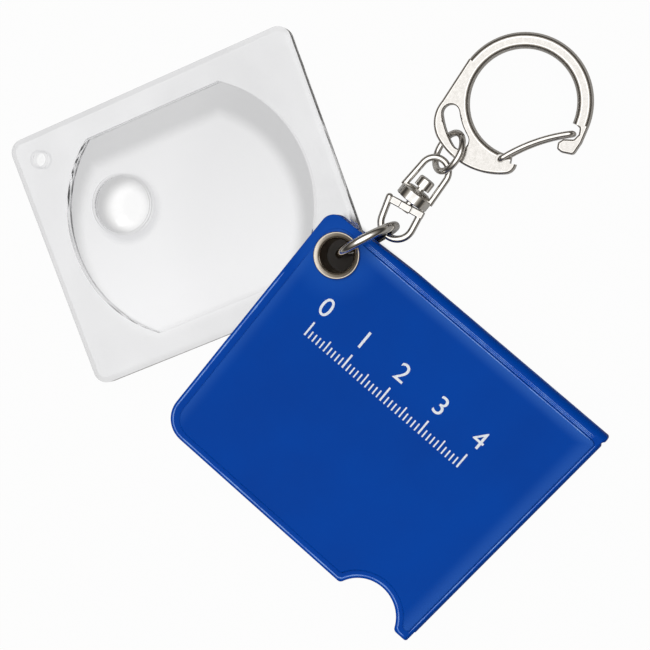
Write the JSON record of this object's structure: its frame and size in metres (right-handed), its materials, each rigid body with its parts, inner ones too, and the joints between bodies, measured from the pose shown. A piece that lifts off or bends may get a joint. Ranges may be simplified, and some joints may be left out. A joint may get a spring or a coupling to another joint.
{
  "type": "pocket magnifier",
  "caption": "Clear square magnifier plate that swings out of a blue vinyl sleeve about a hollow eyelet, with a swivel chain and a gated ring clip.",
  "frame": {"origin": "centre of the sleeve's flat back panel", "axes": "+Z out of the sleeve's front, +X from the open side by the eyelet to the closed side rim, +Y from the open lower edge to the closed top rim"},
  "size_m": [0.1317, 0.1122, 0.0142],
  "materials": {
    "vinyl": "semi-gloss blue vinyl",
    "acrylic": "clear polished acrylic",
    "nickel": "bright nickel plating"
  },
  "bodies": {
    "sleeve": {"front_shell": "vinyl", "back_shell": "vinyl", "eyelet": "nickel", "eyelet_washer": "nickel"},
    "lens": {"lens_plate": "acrylic"},
    "ring": {"jump_ring": "nickel"},
    "stirrup": {"swivel_stirrup": "nickel", "swivel_pin": "nickel"},
    "yoke": {"swivel_yoke": "nickel"},
    "link": {"link_ring": "nickel"},
    "clip": {"clip_body": "nickel"},
    "gate": {"clip_gate": "nickel"}
  },
  "joints": [
    {"name": "lens_swing", "type": "hinge", "parent": "sleeve", "child": "lens", "pos_m": [-0.02748, 0.02131, 0.0029], "axis": [0, 0, 1], "range_deg": [0, 118.6]},
    {"name": "ring_slide", "type": "hinge", "parent": "sleeve", "child": "ring", "pos_m": [-0.02503, 0.02722, 0.0029], "axis": [0.9239, -0.3827, 0], "range_deg": [-35, 35]},
    {"name": "stirrup_swing", "type": "hinge", "parent": "ring", "child": "stirrup", "pos_m": [-0.02266, 0.03295, 0.0029], "axis": [0, 0, 1], "range_deg": [-25, 25]},
    {"name": "swivel_spin", "type": "hinge", "parent": "stirrup", "child": "yoke", "pos_m": [-0.02322, 0.03983, 0.0029], "axis": [-0.0175, 0.9998, 0], "continuous": true},
    {"name": "link_swing", "type": "hinge", "parent": "yoke", "child": "link", "pos_m": [-0.02288, 0.04902, 0.0029], "axis": [0.9998, 0.0175, 0], "range_deg": [-20, 8]},
    {"name": "clip_swing", "type": "hinge", "parent": "link", "child": "clip", "pos_m": [-0.02427, 0.05504, 0.0029], "axis": [0.633, 0.1116, 0.766], "range_deg": [-12, 12]},
    {"name": "gate_open", "type": "hinge", "parent": "clip", "child": "gate", "pos_m": [-0.01463, 0.0563, 0.0029], "axis": [0, 0, 1], "range_deg": [0, 28], "stiffness_Nm_per_rad": 0.002, "springref_deg": -11.46}
  ]
}
